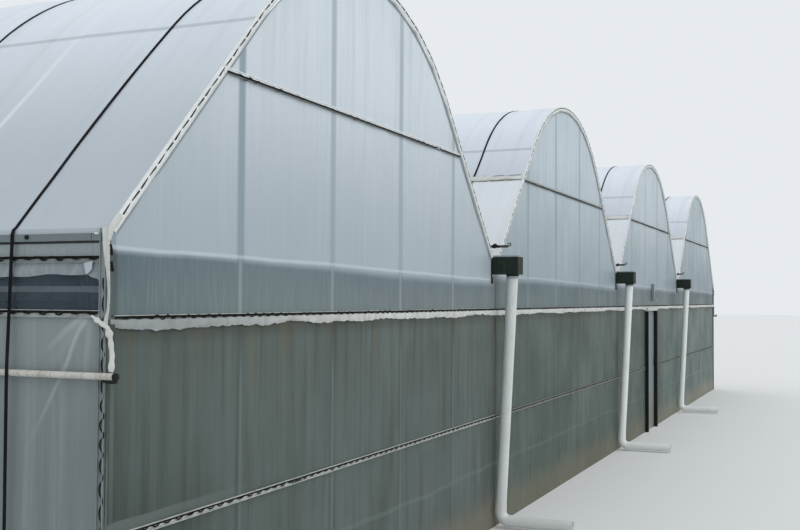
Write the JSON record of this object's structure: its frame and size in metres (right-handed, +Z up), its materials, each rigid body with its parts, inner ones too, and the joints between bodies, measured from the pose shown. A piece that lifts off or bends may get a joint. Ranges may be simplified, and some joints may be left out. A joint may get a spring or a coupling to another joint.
{
  "type": "multi-span film greenhouse",
  "caption": "Row of arched film-covered greenhouse spans with valley gutters, white downpipes, roll-up side curtains and a hinged gable door.",
  "frame": {"origin": "ground level under the middle of the plan", "axes": "+X along the gable fronts, +Y from the front with the door towards the back, along the gutters, +Z up"},
  "size_m": [24.1206, 16.6466, 4.65],
  "materials": {
    "galvanised_tube": "hot-dip galvanised steel tube, dull grey with a faint spangle",
    "galvanised_sheet": "weathered galvanised sheet",
    "roof_film": "translucent greenhouse film, slightly milky, dusty",
    "gable_film": "translucent greenhouse film, milky grey",
    "lower_film": "older translucent film with vertical dirt streaks",
    "side_film": "creased translucent film",
    "door_film": "translucent film on the door leaf",
    "gutter_paint": "dark green painted sheet with grime",
    "white_pvc": "white pipe plastic, slightly dirty",
    "channel_aluminium": "lock channel with spring wire",
    "roll_pipe": "off-white painted tube, dirty",
    "dark_steel": "near black painted steel",
    "door_steel": "grey painted steel"
  },
  "bodies": {
    "house": {"back_gable_posts": "galvanised_tube", "collar_ties": "galvanised_tube", "door_frame": "dark_steel", "downpipes_back": "white_pvc", "downpipes_front": "white_pvc", "eave_beams": "galvanised_sheet", "front_gable_posts": "galvanised_tube", "gable_film_back_1": "gable_film", "gable_film_back_2": "gable_film", "gable_film_back_3": "gable_film", "gable_film_back_4": "gable_film", "gable_film_front_1": "gable_film", "gable_film_front_2": "gable_film", "gable_film_front_3": "gable_film", "gable_film_front_4": "gable_film", "gutter_boxes_back": "gutter_paint", "gutter_boxes_front": "gutter_paint", "hoops_span_1": "galvanised_tube", "hoops_span_2": "galvanised_tube", "hoops_span_3": "galvanised_tube", "hoops_span_4": "galvanised_tube", "left_side_film": "side_film", "lock_channels_back": "channel_aluminium", "lock_channels_front": "channel_aluminium", "lower_film_back": "lower_film", "lower_film_front_left": "lower_film", "lower_film_front_right": "lower_film", "right_side_film": "side_film", "roll_up_pipes": "roll_pipe", "roof_film_1": "roof_film", "roof_film_2": "roof_film", "roof_film_3": "roof_film", "roof_film_4": "roof_film", "roof_purlins": "galvanised_tube", "side_lock_channels": "channel_aluminium", "side_wall_posts": "galvanised_tube", "valley_gutter_1": "galvanised_sheet", "valley_gutter_2": "galvanised_sheet", "valley_gutter_3": "galvanised_sheet", "valley_posts": "galvanised_tube", "valley_slope_films": "roof_film", "vent_rails": "galvanised_tube"},
    "door": {"door_leaf": "door_steel", "door_film": "door_film", "door_latch": "door_steel"}
  },
  "joints": [
    {"name": "door_hinge", "type": "hinge", "parent": "house", "child": "door", "pos_m": [2.431, -7.5256, 0.33], "axis": [0, 0, -1], "range_deg": [0, 90]}
  ]
}
